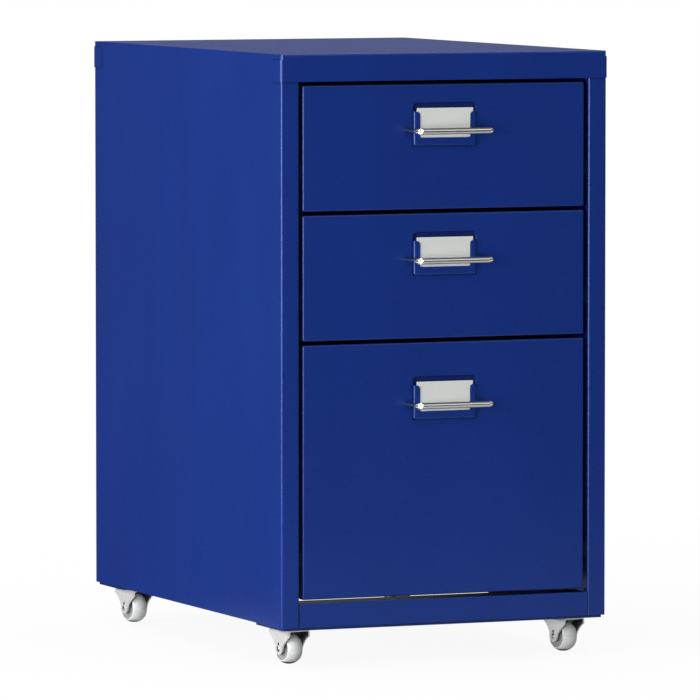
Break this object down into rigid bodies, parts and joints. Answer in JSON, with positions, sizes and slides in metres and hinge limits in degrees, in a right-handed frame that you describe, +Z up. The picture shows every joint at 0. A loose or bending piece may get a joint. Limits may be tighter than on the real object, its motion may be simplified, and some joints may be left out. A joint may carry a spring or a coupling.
{
  "type": "drawer cabinet",
  "caption": "Narrow steel office and workshop cabinet with shallow and deep drawers, label holders, bar pulls and swivel castors under an open base.",
  "frame": {"origin": "on the floor, at the middle of the whole object's box, pulls included", "axes": "+X to the right seen from the front, +Y towards the back, +Z up"},
  "size_m": [0.392, 0.6003, 0.672],
  "materials": {
    "blue_enamel": "smooth semi-gloss powder coat",
    "galvanised_steel": "galvanised sheet",
    "zinc_plate": "bright zinc plate",
    "bright_zinc": "bright zinc plate",
    "nickel_plate": "satin nickel",
    "wheel_nylon": "moulded nylon, slight sheen",
    "glide_nylon": "moulded nylon",
    "card_stock": "matt paper card"
  },
  "bodies": {
    "cabinet": {"left_side_panel": "blue_enamel", "right_side_panel": "blue_enamel", "back_panel": "blue_enamel", "back_panel_screws": "bright_zinc", "top_cover": "blue_enamel", "bottom_rail": "blue_enamel", "front_castor_plate": "blue_enamel", "rear_castor_plate": "blue_enamel", "runner_top_left": "galvanised_steel", "runner_top_right": "galvanised_steel", "runner_middle_left": "galvanised_steel", "runner_middle_right": "galvanised_steel", "runner_bottom_left": "galvanised_steel", "runner_bottom_right": "galvanised_steel", "mount_plate_front_left": "zinc_plate", "mount_plate_front_right": "zinc_plate", "mount_plate_rear_left": "zinc_plate", "mount_plate_rear_right": "zinc_plate", "castor_kingpins": "bright_zinc", "castor_rivets": "bright_zinc"},
    "top_drawer": {"top_drawer_front": "blue_enamel", "top_drawer_box": "blue_enamel", "top_drawer_rail_left": "galvanised_steel", "top_drawer_rail_right": "galvanised_steel", "top_drawer_glides": "glide_nylon", "top_label_holder": "blue_enamel", "top_label_card": "card_stock", "top_pull": "nickel_plate", "top_pull_nuts": "bright_zinc"},
    "middle_drawer": {"middle_drawer_front": "blue_enamel", "middle_drawer_box": "blue_enamel", "middle_drawer_rail_left": "galvanised_steel", "middle_drawer_rail_right": "galvanised_steel", "middle_drawer_glides": "glide_nylon", "middle_label_holder": "blue_enamel", "middle_label_card": "card_stock", "middle_pull": "nickel_plate", "middle_pull_nuts": "bright_zinc"},
    "bottom_drawer": {"bottom_drawer_front": "blue_enamel", "bottom_drawer_box": "blue_enamel", "bottom_drawer_rail_left": "galvanised_steel", "bottom_drawer_rail_right": "galvanised_steel", "bottom_drawer_glides": "glide_nylon", "bottom_label_holder": "blue_enamel", "bottom_label_card": "card_stock", "bottom_pull": "nickel_plate", "bottom_pull_nuts": "bright_zinc"},
    "front_left_swivel": {"fork_front_left": "zinc_plate", "axle_front_left": "bright_zinc"},
    "front_left_wheel": {"wheel_front_left": "wheel_nylon"},
    "front_right_swivel": {"fork_front_right": "zinc_plate", "axle_front_right": "bright_zinc"},
    "front_right_wheel": {"wheel_front_right": "wheel_nylon"},
    "rear_left_swivel": {"fork_rear_left": "zinc_plate", "axle_rear_left": "bright_zinc"},
    "rear_left_wheel": {"wheel_rear_left": "wheel_nylon"},
    "rear_right_swivel": {"fork_rear_right": "zinc_plate", "axle_rear_right": "bright_zinc"},
    "rear_right_wheel": {"wheel_rear_right": "wheel_nylon"}
  },
  "joints": [
    {"name": "top_drawer_slide", "type": "slide", "parent": "cabinet", "child": "top_drawer", "axis": [0, -1, 0], "range_m": [0, 0.4]},
    {"name": "middle_drawer_slide", "type": "slide", "parent": "cabinet", "child": "middle_drawer", "axis": [0, -1, 0], "range_m": [0, 0.4]},
    {"name": "bottom_drawer_slide", "type": "slide", "parent": "cabinet", "child": "bottom_drawer", "axis": [0, -1, 0], "range_m": [0, 0.4]},
    {"name": "front_left_swivel_turn", "type": "hinge", "parent": "cabinet", "child": "front_left_swivel", "pos_m": [-0.166, -0.22415, 0.036], "axis": [0, 0, 1], "continuous": true},
    {"name": "front_left_wheel_roll", "type": "hinge", "parent": "front_left_swivel", "child": "front_left_wheel", "pos_m": [-0.1667, -0.22021, 0.01725], "axis": [0.9848, 0.1736, 0], "continuous": true},
    {"name": "front_right_swivel_turn", "type": "hinge", "parent": "cabinet", "child": "front_right_swivel", "pos_m": [0.166, -0.22415, 0.036], "axis": [0, 0, 1], "continuous": true},
    {"name": "front_right_wheel_roll", "type": "hinge", "parent": "front_right_swivel", "child": "front_right_wheel", "pos_m": [0.16531, -0.22021, 0.01725], "axis": [0.9848, 0.1736, 0], "continuous": true},
    {"name": "rear_left_swivel_turn", "type": "hinge", "parent": "cabinet", "child": "rear_left_swivel", "pos_m": [-0.166, 0.24485, 0.036], "axis": [0, 0, 1], "continuous": true},
    {"name": "rear_left_wheel_roll", "type": "hinge", "parent": "rear_left_swivel", "child": "rear_left_wheel", "pos_m": [-0.1667, 0.24879, 0.01725], "axis": [0.9848, 0.1736, 0], "continuous": true},
    {"name": "rear_right_swivel_turn", "type": "hinge", "parent": "cabinet", "child": "rear_right_swivel", "pos_m": [0.166, 0.24485, 0.036], "axis": [0, 0, 1], "continuous": true},
    {"name": "rear_right_wheel_roll", "type": "hinge", "parent": "rear_right_swivel", "child": "rear_right_wheel", "pos_m": [0.16531, 0.24879, 0.01725], "axis": [0.9848, 0.1736, 0], "continuous": true}
  ]
}
